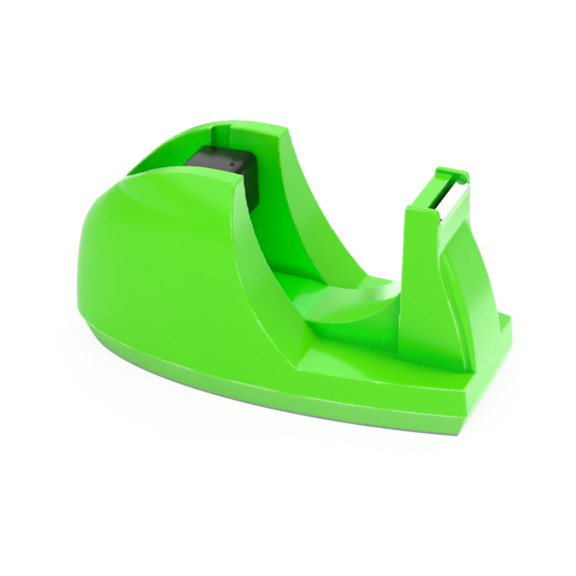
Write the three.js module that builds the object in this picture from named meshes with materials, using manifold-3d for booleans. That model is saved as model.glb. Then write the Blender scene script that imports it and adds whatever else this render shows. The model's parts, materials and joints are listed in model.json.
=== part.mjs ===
// Desk tape dispenser: a one-piece hollow body with two high walls, a roll well, a finger saddle
// and a cutter tower, closed from below by a base plate that holds the ballast.
// Millimetres. X runs from the rear to the front, Y across, Z up from the table.
import * as THREE from 'three';
import { mergeVertices } from 'three/addons/utils/BufferGeometryUtils.js';
import Module from 'manifold-3d';

const wasm = await Module();
wasm.setup();

// ---- Driving dimensions ----

const FIT_GAP = 0.3;              // running and seating clearance between pieces
const SKIN = 2;                   // wall thickness of the mouldings
const EMBED = 1;                  // how far a joined solid sinks in, or a cut passes a surface

// Base, seen from above
const BODY_LENGTH = 136;
const BODY_WIDTH = 60.6;
const FRONT_WIDTH = 45.2;
const WIDEST_FROM_FRONT = 60;
const REAR_FULLNESS = 2.1;        // exponent of the rear curve: 2 is an ellipse, more is squarer
const RIM_FULLNESS = 2.9;         // the same at rim height
const FRONT_CORNER_RADIUS = 0.9;
const INNER_CORNER_RADIUS = 0.4;  // smallest corner inside the mouldings
const FRONT_LEAN = 1;             // how far the platform edge stands behind the parting line

// Base, from the table up
const PAD_THICKNESS = 1;
const PLATE_HEIGHT = 5.7;
const BAND_HEIGHT = 9.3;          // body side below the platform
const SPINE_RISE = 6.3;           // well floor above the platform

// Walls
const RIM_HEIGHT = 51.9;          // highest point of the rim above the platform
const RIM_CROWN_AHEAD = 6.4;      // highest point of the rim, ahead of the hub
const RIM_FRONT_RADIUS = 90;
const RIM_REAR_RADIUS = 49.4;
const RIM_REAR_SLOPE = 45;        // degrees
const WALL_AHEAD = 16;            // front edge of the walls at the rim, ahead of the hub
const WALL_FRONT_RADIUS = 69;     // hollow curve of the walls' front edges
const SIDE_LEAN_RADIUS = 110;     // outer sides curve in on this radius
const SIDE_LEAN_START = 6.5;      // above the platform
const REAR_LEAN_RADIUS = 110;
const REAR_BAND = 1.5;            // rim width at the rear end of the well
const REAR_ROUNDING = 6;          // reach of the soft turn from the rear face to the rim

// Roll well
const WELL_FLOOR_WIDTH = 21;
const WELL_RIM_WIDTH = 27.3;
const WELL_SPLAY = 0.02;          // each side opens this much per millimetre to the rear
const ROLL_CLEARANCE = 29.6;      // hub centre above the well floor
const WELL_REAR = 27;             // rear end of the well behind the hub, at hub height
const WELL_REAR_DRAFT = 6;        // degrees

// Saddle between well and tower
const SPINE_WIDTH = 21.8;
const SADDLE_RADIUS = 33.5;
const SADDLE_DIP = 1;             // lowest point below the well floor
const SADDLE_BEHIND_TOWER = 29;   // centre of the saddle behind the tower's rear foot

// Tower
const TOWER_WIDTH = 28.2;
const TOWER_HEIGHT = 51.2;        // cheek tops above the platform
const TOWER_FOOT_DEPTH = 24;      // rear foot behind the platform's front edge
const TOWER_REAR_LEAN = 1.2;      // head's rear side ahead of the rear foot
const CHEEK_THICKNESS = 2.1;
const CHEEK_TIP_SETBACK = 0.5;    // cheek's front edge at blade height, behind the head's face
const CHEEK_FRONT_SETBACK = 2.5;  // cheek foot behind the ramp foot
const CHEEK_FRONT_ROUND = 2.4;    // rounded top corners of the cheeks
const CHEEK_REAR_ROUND = 1.3;
const CHEEK_FOOT_BULGE = 2.2;     // curve of the cheek's front edge: its pull at the foot
const CHEEK_NECK_PULL = 0.3;      // and at the neck under the head
const HEAD_DEPTH = 10.8;          // length of the head, rear to front
const HEAD_FACE_HEIGHT = 12.3;    // cheek tops down to the top of the ramp
const HEAD_FACE_LEAN = 0.7;       // front face of the head leans forward by this much
const RAMP_BULGE_RADIUS = 104;
const RAMP_TOP_WIDTH = 23.8;
const RAMP_FOOT_WIDTH = 25.4;
const RAMP_SIDE_WALL = 1.5;
const STRIP_DROP = 1.9;           // rear strip below the cheek tops
const STRIP_LENGTH = 5.2;
const SLOT_LENGTH = 3.2;          // open slot between rear strip and front wall
const LEDGE_DEPTH = 8.2;          // ledges in the slot, below the cheek tops
const LEDGE_WIDTH = 1.2;

// Cutter blade
const BLADE_THICKNESS = 0.5;
const BLADE_SLOPE = 21;           // degrees down to the front
const BLADE_LEG = 6;
const BLADE_OVERHANG = 0.5;       // tooth tips ahead of the head's front edge
const TOOTH_DEPTH = 0.4;
const TOOTH_PITCH = 1.2;
const STAKE_DIAMETER = 1.8;
const STAKE_LENGTH = 1.7;
const STAKE_SPACING = 12;
const STAKE_DROP = 3.9;           // below the blade's upper edge

// Tape hub
const HUB_BEHIND_TOWER = 64.4;    // hub centre behind the tower's rear foot
const HUB_SIDE = 19.4;
const HUB_CORNER_RADIUS = 3;
const HUB_LENGTH = 23.2;
const HUB_TURN = 2.5;             // degrees, how the loose hub lies turned at rest
const HUB_WALL = 1.6;
const HUB_CAP_SPIGOT = 2;
const AXLE_DIAMETER = 3;
const AXLE_LENGTH = 28.5;
const AXLE_BEVEL = 0.4;
const AXLE_SEAT = 1.7;            // near end of the axle inside its socket
const AXLE_SHIFT = 1.9;           // slides this far across to leave the socket
const AXLE_BOSS_WALL = 1.4;

// Axle slot in the far wall
const SLOT_SLANT = 18;            // degrees off upright, running forward as it goes down
const SLOT_MOUTH_WIDTH = 6.3;
const SLOT_MOUTH_BEHIND = 3.9;    // middle of the mouth behind the hub
const SLOT_MOUTH_DEPTH = 11;      // below the highest point of the rim

// Base plate, pad, ballast and screws
const PLATE_PROUD = 0.3;          // plate edge beyond the body's sides
const PLATE_FRONT_TUCK = 1.4;     // plate foot behind its own top edge at the front
const PLATE_REAR_TUCK = 3.7;
const PLATE_END_INSET = 0.5;
const LIP_HEIGHT = 2;
const LIP_THICKNESS = 1.2;
const PAD_INSET = 0.5;
const BALLAST_LENGTH = 60;
const BALLAST_WIDTH = 34;
const BALLAST_HEIGHT = 9;
const BALLAST_AHEAD = 29;         // middle of the ballast ahead of the hub
const FENCE_THICKNESS = 1.5;
const FENCE_HEIGHT = 4;
const SCREW_DIAMETER = 2.6;
const SCREW_HEAD_DIAMETER = 5;
const SCREW_HEAD_HEIGHT = 1.6;
const SCREW_LENGTH = 10;
const SCREW_TIP_LENGTH = 1.5;
const SCREW_CROWN_DIAMETER = 3.5; // flat top of the pan head
const BOSS_DIAMETER = 7;
const FRONT_SCREW_SETBACK = 11;   // behind the platform's front edge
const FRONT_SCREW_SPACING = 36;
const REAR_SCREW_BEHIND = 14;     // behind the hub
const REAR_SCREW_SPACING = 16;

// ---- Levels and stations worked out from them ----

const padTop = PAD_THICKNESS;
const plateTop = padTop + PLATE_HEIGHT;
const platformTop = plateTop + BAND_HEIGHT;
const wellFloor = platformTop + SPINE_RISE;
const rimTop = platformTop + RIM_HEIGHT;
const towerTop = platformTop + TOWER_HEIGHT;
const hubZ = wellFloor + ROLL_CLEARANCE;

const frontX = BODY_LENGTH / 2;
const rearX = -BODY_LENGTH / 2;
const platformFrontX = frontX - FRONT_LEAN;
const widestX = frontX - WIDEST_FROM_FRONT;
const towerFootX = platformFrontX - TOWER_FOOT_DEPTH;
const headRearX = towerFootX + TOWER_REAR_LEAN;
const headFrontX = headRearX + HEAD_DEPTH;
const hubX = towerFootX - HUB_BEHIND_TOWER;
const wallFrontX = hubX + WALL_AHEAD;
const saddleX = towerFootX - SADDLE_BEHIND_TOWER;

const radians = THREE.MathUtils.degToRad;
const FAR = BODY_LENGTH;          // reach of cutting solids past the part

// ---- Solids ----

function toSolid(geometry) {
  const bare = geometry.clone();
  bare.deleteAttribute('normal');
  bare.deleteAttribute('uv');
  const merged = mergeVertices(bare, 1e-4);
  return new wasm.Manifold(new wasm.Mesh({
    numProp: 3,
    vertProperties: new Float32Array(merged.attributes.position.array),
    triVerts: new Uint32Array(merged.index.array),
  }));
}

function toGeometry(solid) {
  const mesh = solid.getMesh();
  const geometry = new THREE.BufferGeometry();
  geometry.setAttribute('position', new THREE.BufferAttribute(mesh.vertProperties, 3));
  geometry.setIndex(new THREE.BufferAttribute(mesh.triVerts, 1));
  return geometry;
}

function joined(solids) {
  return solids.reduce((whole, solid) => whole.add(solid));
}

function box(x0, x1, y0, y1, z0, z1) {
  const geometry = new THREE.BoxGeometry(x1 - x0, y1 - y0, z1 - z0);
  geometry.translate((x0 + x1) / 2, (y0 + y1) / 2, (z0 + z1) / 2);
  return toSolid(geometry);
}

// A flat shape drawn in X and Z, given its thickness across the part.
function acrossY(shape, y0, y1, curveSegments = 12) {
  const geometry = new THREE.ExtrudeGeometry(shape, { depth: y1 - y0, bevelEnabled: false, curveSegments });
  geometry.rotateX(Math.PI / 2);
  geometry.translate(0, y1, 0);
  return toSolid(geometry);
}

// A flat shape drawn in Y and Z, given its length along the part.
function alongX(shape, x0, x1) {
  const geometry = new THREE.ExtrudeGeometry(shape, { depth: x1 - x0, bevelEnabled: false });
  geometry.rotateX(Math.PI / 2);
  geometry.rotateZ(Math.PI / 2);
  geometry.translate(x0, 0, 0);
  return toSolid(geometry);
}

function polygon(points) {
  return new THREE.Shape(points.map(([x, y]) => new THREE.Vector2(x, y)));
}

function upright(radius, x, y, z0, z1, sides = 20) {
  const geometry = new THREE.CylinderGeometry(radius, radius, z1 - z0, sides);
  geometry.rotateX(Math.PI / 2);
  geometry.translate(x, y, (z0 + z1) / 2);
  return toSolid(geometry);
}

function crosswise(radius, x, y0, y1, z, sides = 24) {
  const geometry = new THREE.CylinderGeometry(radius, radius, y1 - y0, sides);
  geometry.translate(x, (y0 + y1) / 2, z);
  return toSolid(geometry);
}

function lengthwise(radius, x0, x1, y, z, sides = 14) {
  const geometry = new THREE.CylinderGeometry(radius, radius, x1 - x0, sides);
  geometry.rotateZ(Math.PI / 2);
  geometry.translate((x0 + x1) / 2, y, z);
  return toSolid(geometry);
}

// A turned solid about Y from points of [radius, height].
function turned(points, sides) {
  return new THREE.LatheGeometry(points.map(([x, y]) => new THREE.Vector2(x, y)), sides);
}

// A solid through a stack of level rings, each a list of [x, y] with the same number of points.
function loft(levels) {
  const count = levels[0].ring.length;
  const positions = levels.flatMap(({ z, ring }) => ring.flatMap(([x, y]) => [x, y, z]));
  const triangles = [];
  for (let level = 0; level + 1 < levels.length; level += 1) {
    for (let i = 0; i < count; i += 1) {
      const a = level * count + i;
      const b = level * count + (i + 1) % count;
      triangles.push(a, b, b + count, a, b + count, a + count);
    }
  }
  const flat = levels[0].ring.map(([x, y]) => new THREE.Vector2(x, y));
  const top = (levels.length - 1) * count;
  for (const [a, b, c] of THREE.ShapeUtils.triangulateShape(flat, [])) {
    triangles.push(a, c, b, top + a, top + b, top + c);
  }
  const geometry = new THREE.BufferGeometry();
  geometry.setAttribute('position', new THREE.Float32BufferAttribute(positions, 3));
  geometry.setIndex(triangles);
  return toSolid(geometry);
}

// ---- Plan of the base and walls ----

const SIDE_STEPS = 10;
const REAR_STEPS = 18;
const CORNER_STEPS = 4;
const WELL_STEPS = 20;
const DISH_SIDES = 72;

function leanIn(radius, height) {
  const rise = THREE.MathUtils.clamp(height, 0, radius);
  return radius - Math.sqrt(radius * radius - rise * rise);
}

// Outline at one level, anticlockwise from the rear tip, moved in by inset on every side.
function planRing({ front, rear, halfWidth, fullness, inset = 0 }) {
  const frontEnd = front - inset;
  const rearReach = widestX - rear - inset;
  const widest = halfWidth - inset;
  const narrowing = (BODY_WIDTH - FRONT_WIDTH) / 2;
  const half = [];
  for (let i = 1; i <= REAR_STEPS; i += 1) {
    const turn = (i / REAR_STEPS) * Math.PI / 2;
    half.push([
      widestX - rearReach * Math.cos(turn) ** (2 / fullness),
      -widest * Math.sin(turn) ** (2 / fullness),
    ]);
  }
  const corner = Math.max(FRONT_CORNER_RADIUS - inset, INNER_CORNER_RADIUS);
  const sideWidth = (x) => widest - narrowing * ((x - widestX) / WIDEST_FROM_FRONT) ** 2;
  for (let i = 1; i <= SIDE_STEPS; i += 1) {
    const x = widestX + (frontEnd - corner - widestX) * (i / SIDE_STEPS);
    half.push([x, -sideWidth(x)]);
  }
  for (let i = 1; i <= CORNER_STEPS; i += 1) {
    const turn = (i / CORNER_STEPS) * Math.PI / 2;
    const x = frontEnd - corner + corner * Math.sin(turn);
    half.push([x, -sideWidth(x) + corner * (1 - Math.cos(turn))]);
  }
  const mirrored = [...half].reverse().map(([x, y]) => [x, -y]);
  return [[widestX - rearReach, 0], ...half, ...mirrored];
}

// Rear end of the rim's curve at one height.
function rimRearX(z) {
  const slope = radians(RIM_REAR_SLOPE);
  const centreZ = rimTop - RIM_REAR_RADIUS;
  const crownX = hubX + RIM_CROWN_AHEAD;
  const tangentZ = centreZ + RIM_REAR_RADIUS * Math.cos(slope);
  if (z < tangentZ) return crownX - RIM_REAR_RADIUS * Math.sin(slope) - (tangentZ - z) / Math.tan(slope);
  return crownX - Math.sqrt(Math.max(RIM_REAR_RADIUS ** 2 - (z - centreZ) ** 2, 0));
}

// Rear tip of the body at one height: the leaning rear face, turning softly into the rim.
function rearTip(z) {
  const face = rearX + leanIn(REAR_LEAN_RADIUS, z - plateTop);
  const rim = Math.min(rimRearX(z), hubX - WELL_REAR) - REAR_BAND;
  const nearness = Math.max(1 - Math.abs(face - rim) / REAR_ROUNDING, 0);
  return Math.max(face, rim) + nearness ** 2 * REAR_ROUNDING / 4;
}

// Outer surface of the body between two heights.
function bodyLoft(inset, z0, z1, steps) {
  const levels = [];
  for (let i = 0; i <= steps; i += 1) {
    const z = z0 + (z1 - z0) * (i / steps);
    const share = THREE.MathUtils.clamp((z - plateTop) / (rimTop - plateTop), 0, 1);
    const band = THREE.MathUtils.clamp((z - plateTop) / BAND_HEIGHT, 0, 1);
    levels.push({
      z,
      ring: planRing({
        front: frontX - FRONT_LEAN * band,
        rear: rearTip(z),
        halfWidth: BODY_WIDTH / 2 - leanIn(SIDE_LEAN_RADIUS, z - platformTop - SIDE_LEAN_START),
        fullness: THREE.MathUtils.lerp(REAR_FULLNESS, RIM_FULLNESS, share ** 2),
        inset,
      }),
    });
  }
  return loft(levels);
}

// Side view of the platform, the walls' front edges and the rim, shrunk by inset.
function wallProfile(inset) {
  const bottom = plateTop - inset - EMBED;
  const platform = platformTop - inset;
  const crownX = hubX + RIM_CROWN_AHEAD;
  const crownToFront = WALL_AHEAD - RIM_CROWN_AHEAD - inset;
  const frontTop = rimTop - inset - leanIn(RIM_FRONT_RADIUS, crownToFront);
  const centreX = wallFrontX + WALL_FRONT_RADIUS;
  const centreZ = rimTop - leanIn(RIM_FRONT_RADIUS, WALL_AHEAD - RIM_CROWN_AHEAD);
  const frontRadius = WALL_FRONT_RADIUS + inset;
  const angleAt = (z) => Math.PI + Math.asin((centreZ - z) / frontRadius);
  const shape = new THREE.Shape();
  shape.moveTo(rearX - EMBED, bottom);
  shape.lineTo(frontX + EMBED, bottom);
  shape.lineTo(frontX + EMBED, platform);
  shape.absarc(centreX, centreZ, frontRadius, angleAt(platform), angleAt(frontTop), true);
  const slope = radians(RIM_REAR_SLOPE);
  const rearRadius = RIM_REAR_RADIUS - inset;
  shape.absarc(crownX, rimTop - RIM_REAR_RADIUS, rearRadius, Math.PI / 2, Math.PI / 2 + slope, false);
  const slopeX = crownX - rearRadius * Math.sin(slope);
  const slopeZ = rimTop - RIM_REAR_RADIUS + rearRadius * Math.cos(slope);
  shape.lineTo(rearX - EMBED, slopeZ - (slopeX - rearX + EMBED) * Math.tan(slope));
  return shape;
}

// ---- Roll well and saddle ----

// Half the well's width at one place.
function wellHalf(x, z) {
  const spread = (WELL_RIM_WIDTH - WELL_FLOOR_WIDTH) / 2 / (rimTop - wellFloor);
  return WELL_FLOOR_WIDTH / 2 + spread * (z - wellFloor) + WELL_SPLAY * (wallFrontX - x);
}

// The well's space from a floor height up, with its walls moved out by grow.
function wellLoft(grow, floor) {
  const top = rimTop + EMBED;
  const ringAt = (z) => {
    const tip = hubX - WELL_REAR - grow - (z - hubZ) * Math.tan(radians(WELL_REAR_DRAFT));
    const halfAt = (x) => wellHalf(x, z) + grow;
    const round = halfAt(tip + wellHalf(tip, z));
    const ring = [[frontX, -halfAt(frontX)], [frontX, halfAt(frontX)]];
    for (let i = 0; i <= WELL_STEPS; i += 1) {
      const turn = Math.PI / 2 + (i / WELL_STEPS) * Math.PI;
      ring.push([tip + round + round * Math.cos(turn), round * Math.sin(turn)]);
    }
    return ring;
  };
  return loft([{ z: floor, ring: ringAt(floor) }, { z: top, ring: ringAt(top) }]);
}

const saddleZ = wellFloor - SADDLE_DIP + SADDLE_RADIUS;

function wellSpace(grow) {
  const dish = crosswise(SADDLE_RADIUS + grow, saddleX, -BODY_WIDTH, BODY_WIDTH, saddleZ, DISH_SIDES);
  const dip = wellLoft(grow, wellFloor - SADDLE_DIP - grow - EMBED).intersect(dish);
  return wellLoft(grow, wellFloor - grow).add(dip);
}

// Block under the saddle, from the well to the tower, shrunk by inset.
function spine(inset) {
  const half = SPINE_WIDTH / 2 - inset;
  const block = box(hubX, towerFootX + SKIN, -half, half, plateTop - inset, saddleZ);
  return block.subtract(crosswise(SADDLE_RADIUS + inset, saddleX, -FAR, FAR, saddleZ, DISH_SIDES))
    .subtract(box(-FAR, saddleX, -FAR, FAR, wellFloor - SADDLE_DIP - inset, FAR));
}

// ---- Tower ----

const headFaceFootZ = towerTop - HEAD_FACE_HEIGHT;
const slotRearX = headRearX + STRIP_LENGTH;
const slotFrontX = slotRearX + SLOT_LENGTH;
const bladeSlope = radians(BLADE_SLOPE);
const bladeTopZ = towerTop - STRIP_DROP;   // upper edge of the blade, over its leg
const bladeRearX = slotFrontX - FIT_GAP - BLADE_THICKNESS;
const stakeZ = bladeTopZ - STAKE_DROP;

function cheekProfile() {
  const frontFootX = platformFrontX - CHEEK_FRONT_SETBACK;
  const neckZ = headFaceFootZ - EMBED;
  const shape = new THREE.Shape();
  shape.moveTo(towerFootX, plateTop);
  shape.lineTo(frontFootX, plateTop);
  shape.lineTo(frontFootX, platformTop);
  const rise = neckZ - platformTop;
  shape.bezierCurveTo(
    frontFootX - CHEEK_FOOT_BULGE, platformTop + rise / 2,
    headFrontX - CHEEK_NECK_PULL, neckZ - rise / 4,
    headFrontX, neckZ,
  );
  const tipX = headFrontX - CHEEK_TIP_SETBACK;
  shape.lineTo(tipX, towerTop - CHEEK_FRONT_ROUND);
  shape.quadraticCurveTo(tipX, towerTop, tipX - CHEEK_FRONT_ROUND, towerTop);
  shape.lineTo(headRearX + CHEEK_REAR_ROUND, towerTop);
  shape.quadraticCurveTo(headRearX, towerTop, headRearX, towerTop - CHEEK_REAR_ROUND);
  return shape;
}

// Side view of the core between the cheeks: rear wall, rear strip, blade seat, face and ramp.
function coreProfile(inset) {
  const faceFoot = new THREE.Vector2(headFrontX - HEAD_FACE_LEAN, headFaceFootZ);
  const foot = new THREE.Vector2(platformFrontX, platformTop);
  const chord = faceFoot.distanceTo(foot);
  const middle = faceFoot.clone().add(foot).multiplyScalar(0.5);
  const reach = Math.sqrt(RAMP_BULGE_RADIUS ** 2 - (chord / 2) ** 2);
  const along = foot.clone().sub(faceFoot).divideScalar(chord);
  const centre = middle.add(new THREE.Vector2(along.y, -along.x).multiplyScalar(reach));
  const radius = RAMP_BULGE_RADIUS - inset;
  const angleOf = (point) => Math.atan2(point.y - centre.y, point.x - centre.x);
  const shape = new THREE.Shape();
  shape.moveTo(towerFootX + inset, plateTop - inset);
  shape.lineTo(platformFrontX - inset, plateTop - inset);
  shape.absarc(centre.x, centre.y, radius, angleOf(foot), angleOf(faceFoot), false);
  shape.lineTo(headFrontX - inset, towerTop - STRIP_DROP - inset);
  shape.lineTo(headRearX + inset, towerTop - STRIP_DROP - inset);
  shape.lineTo(headRearX + inset, headFaceFootZ);
  return shape;
}

// Front view of the ramp, which widens toward its foot.
function rampWidths() {
  const top = RAMP_TOP_WIDTH / 2;
  const foot = RAMP_FOOT_WIDTH / 2;
  return polygon([
    [-foot, plateTop], [foot, plateTop], [foot, platformTop],
    [top, headFaceFootZ], [top, towerTop], [-top, towerTop], [-top, headFaceFootZ], [-foot, platformTop],
  ]);
}

function towerSolid() {
  const outer = TOWER_WIDTH / 2;
  const inner = outer - CHEEK_THICKNESS;
  const cheeks = acrossY(cheekProfile(), -outer, outer)
    .subtract(box(headRearX - SKIN, FAR, -inner, inner, towerTop - STRIP_DROP, FAR));
  const ramp = acrossY(coreProfile(0), -FAR, FAR).intersect(alongX(rampWidths(), headRearX, FAR));
  return cheeks.add(ramp.intersect(box(-FAR, FAR, -FAR, FAR, -FAR, towerTop - STRIP_DROP)));
}

// Hollow of the tower, open below, and the open slot behind the blade.
function towerHollow() {
  const inner = TOWER_WIDTH / 2 - CHEEK_THICKNESS;
  const ledgeZ = towerTop - LEDGE_DEPTH;
  const narrow = inner - LEDGE_WIDTH;
  const wide = RAMP_FOOT_WIDTH / 2 - RAMP_SIDE_WALL;
  const widths = polygon([
    [-wide, plateTop - SKIN], [wide, plateTop - SKIN], [wide, platformTop],
    [narrow, ledgeZ], [-narrow, ledgeZ], [-wide, platformTop],
  ]);
  const below = acrossY(coreProfile(SKIN), -FAR, FAR).intersect(alongX(widths, -FAR, FAR));
  const slot = box(slotRearX, slotFrontX, -inner, inner, ledgeZ, FAR);
  const behindStrip = acrossY(coreProfile(SKIN), -narrow, narrow)
    .intersect(box(headRearX, slotFrontX, -FAR, FAR, ledgeZ - EMBED, towerTop - STRIP_DROP - SKIN));
  return joined([below, slot, behindStrip]);
}

// Sloping seat cut into the top of the front wall, one gap below the blade.
function bladeSeat() {
  const inner = TOWER_WIDTH / 2 - CHEEK_THICKNESS;
  const seatZ = bladeTopZ - (BLADE_THICKNESS + FIT_GAP) / Math.cos(bladeSlope);
  const drop = (FAR - bladeRearX) * Math.tan(bladeSlope);
  const shape = polygon([[bladeRearX, seatZ], [FAR, seatZ - drop], [FAR, FAR], [bladeRearX, FAR]]);
  return acrossY(shape, -inner, inner);
}

// Round pins at both stake places, of one radius, between two stations.
function stakePair(radius, x0, x1) {
  return joined([-1, 1].map((side) => lengthwise(radius, x0, x1, side * STAKE_SPACING / 2, stakeZ)));
}

function stakes() {
  return stakePair(STAKE_DIAMETER / 2, slotFrontX - STAKE_LENGTH, slotFrontX + EMBED);
}

// ---- Axle seats ----

const axleNearY = -wellHalf(hubX, hubZ) - AXLE_SEAT;
const axleFarY = axleNearY + AXLE_LENGTH;
const slotBack = axleFarY + AXLE_SHIFT + FIT_GAP;
const seatRadius = AXLE_DIAMETER / 2 + FIT_GAP;

// Round socket in the near wall, closed at its outer end.
function socketCut(grow) {
  return crosswise(seatRadius + grow, hubX, axleNearY - FIT_GAP - grow, -WELL_FLOOR_WIDTH / 2, hubZ);
}

// Slanted channel in the far wall, with a wider upright mouth at the rim.
function slotCut(grow) {
  const y0 = WELL_FLOOR_WIDTH / 2;
  const y1 = slotBack + grow;
  const slant = radians(SLOT_SLANT);
  const radius = seatRadius + grow;
  const length = (rimTop - hubZ + AXLE_DIAMETER) / Math.cos(slant);
  const side = [radius * Math.cos(slant), radius * Math.sin(slant)];
  const far = [-length * Math.sin(slant), length * Math.cos(slant)];
  const channel = new THREE.Shape();
  channel.moveTo(hubX + far[0] + side[0], hubZ + far[1] + side[1]);
  channel.lineTo(hubX + far[0] - side[0], hubZ + far[1] - side[1]);
  channel.absarc(hubX, hubZ, radius, slant + Math.PI, slant + 2 * Math.PI, false);
  const mouthX = hubX - SLOT_MOUTH_BEHIND;
  const mouth = box(
    mouthX - SLOT_MOUTH_WIDTH / 2 - grow, mouthX + SLOT_MOUTH_WIDTH / 2 + grow,
    y0, y1, rimTop - SLOT_MOUTH_DEPTH - grow, rimTop + EMBED,
  );
  return acrossY(channel, y0, y1).add(mouth);
}

// ---- Body ----

const bossRadius = BOSS_DIAMETER / 2;
const holeRadius = SCREW_DIAMETER / 2 + FIT_GAP;
const headSeatZ = padTop + SCREW_HEAD_HEIGHT + FIT_GAP;
const screwPlaces = [
  [platformFrontX - FRONT_SCREW_SETBACK, FRONT_SCREW_SPACING / 2],
  [platformFrontX - FRONT_SCREW_SETBACK, -FRONT_SCREW_SPACING / 2],
  [hubX - REAR_SCREW_BEHIND, REAR_SCREW_SPACING / 2],
  [hubX - REAR_SCREW_BEHIND, -REAR_SCREW_SPACING / 2],
];
const ballastX = hubX + BALLAST_AHEAD;
const plateFloorTop = padTop + SKIN;
const ballastTop = plateFloorTop + BALLAST_HEIGHT;

function bodyHollow() {
  const shellSpace = bodyLoft(SKIN, plateTop - SKIN, rimTop, 12)
    .intersect(acrossY(wallProfile(SKIN), -FAR, FAR, 16))
    .subtract(wellSpace(SKIN));
  return joined([shellSpace, spine(SKIN), towerHollow()]);
}

// Screw bosses, hold-down ribs over the ballast, and the walls around the axle's seats.
function innerFeatures() {
  const bosses = screwPlaces.map(([x, y]) => {
    const top = x > saddleX ? platformTop - SKIN / 2 : wellFloor - SKIN / 2;
    return upright(bossRadius, x, y, plateTop, top);
  });
  const ribHalf = WELL_FLOOR_WIDTH / 2 - SKIN;
  const ribTop = wellFloor - SADDLE_DIP - SKIN / 2;
  const ribs = [-1, 1].map((end) => {
    const x = ballastX - BALLAST_LENGTH / 4 + end * BALLAST_LENGTH / 8;
    return box(x - SKIN / 2, x + SKIN / 2, -ribHalf, ribHalf, ballastTop + FIT_GAP, ribTop);
  });
  return joined([...bosses, ...ribs, socketCut(SKIN), slotCut(SKIN)]);
}

function bodyShell() {
  const outer = bodyLoft(0, plateTop, rimTop + EMBED, 16).intersect(acrossY(wallProfile(0), -FAR, FAR, 20));
  const pilots = joined(screwPlaces.map(([x, y]) => (
    upright(holeRadius, x, y, plateTop - EMBED, headSeatZ + SCREW_LENGTH + FIT_GAP, 12)
  )));
  const hollow = bodyHollow().subtract(innerFeatures());
  return outer.subtract(wellSpace(0)).add(spine(0)).add(towerSolid())
    .subtract(hollow)
    .subtract(bladeSeat())
    .subtract(socketCut(0))
    .subtract(slotCut(0))
    .subtract(pilots)
    .add(stakes());
}

// ---- Base plate, pad, ballast, screws ----

const plateTopRing = {
  front: frontX - PLATE_END_INSET,
  rear: rearX + PLATE_END_INSET,
  halfWidth: BODY_WIDTH / 2 + PLATE_PROUD,
  fullness: REAR_FULLNESS,
};
const plateFootRing = {
  ...plateTopRing,
  front: plateTopRing.front - PLATE_FRONT_TUCK,
  rear: plateTopRing.rear + PLATE_REAR_TUCK,
};

function basePlate() {
  const edge = SKIN + FIT_GAP + LIP_THICKNESS;
  const bodyRing = { front: frontX, rear: rearX, halfWidth: BODY_WIDTH / 2, fullness: REAR_FULLNESS };
  const tray = loft([
    { z: padTop, ring: planRing(plateFootRing) },
    { z: plateTop, ring: planRing(plateTopRing) },
  ]);
  const lipRing = planRing({ ...bodyRing, inset: SKIN + FIT_GAP });
  const lip = loft([{ z: plateTop - EMBED, ring: lipRing }, { z: plateTop + LIP_HEIGHT, ring: lipRing }]);
  const openRing = planRing({ ...bodyRing, inset: edge });
  const open = loft([
    { z: plateFloorTop, ring: planRing({ ...plateFootRing, inset: edge }) },
    { z: plateTop, ring: openRing },
    { z: plateTop + LIP_HEIGHT + EMBED, ring: openRing },
  ]);
  const standoffs = joined(screwPlaces.map(([x, y]) => (
    upright(bossRadius, x, y, padTop + EMBED, plateTop)
  )));
  const holes = joined(screwPlaces.flatMap(([x, y]) => [
    upright(holeRadius, x, y, padTop - EMBED, plateTop + EMBED, 12),
    upright(SCREW_HEAD_DIAMETER / 2 + FIT_GAP, x, y, padTop - EMBED, headSeatZ, 16),
  ]));
  return tray.add(lip).subtract(open).add(fence()).add(standoffs).subtract(holes);
}

// Low fence on the plate that keeps the ballast in its place.
function fence() {
  const ring = (grow, z0, z1) => box(
    ballastX - BALLAST_LENGTH / 2 - grow, ballastX + BALLAST_LENGTH / 2 + grow,
    -BALLAST_WIDTH / 2 - grow, BALLAST_WIDTH / 2 + grow, z0, z1,
  );
  const top = plateFloorTop + FENCE_HEIGHT;
  return ring(FIT_GAP + FENCE_THICKNESS, padTop + EMBED, top)
    .subtract(ring(FIT_GAP, plateFloorTop, top + EMBED));
}

function nonSlipPad() {
  const ring = planRing({ ...plateFootRing, inset: PAD_INSET });
  return loft([{ z: 0, ring }, { z: padTop, ring }]);
}

function ballastBlock() {
  return box(
    ballastX - BALLAST_LENGTH / 2, ballastX + BALLAST_LENGTH / 2,
    -BALLAST_WIDTH / 2, BALLAST_WIDTH / 2, plateFloorTop, ballastTop,
  );
}

// Pan-head screw standing upright, its head's bearing face at the origin.
function baseScrewGeometry() {
  const head = SCREW_HEAD_DIAMETER / 2;
  const shank = SCREW_DIAMETER / 2;
  const geometry = turned([
    [0, -SCREW_HEAD_HEIGHT], [SCREW_CROWN_DIAMETER / 2, -SCREW_HEAD_HEIGHT],
    [head, -SCREW_HEAD_HEIGHT / 2], [head, 0],
    [shank, 0], [shank, SCREW_LENGTH - SCREW_TIP_LENGTH], [0, SCREW_LENGTH],
  ], 16);
  geometry.rotateX(Math.PI / 2);
  return toGeometry(toSolid(geometry));
}

// ---- Cutter blade ----

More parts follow.
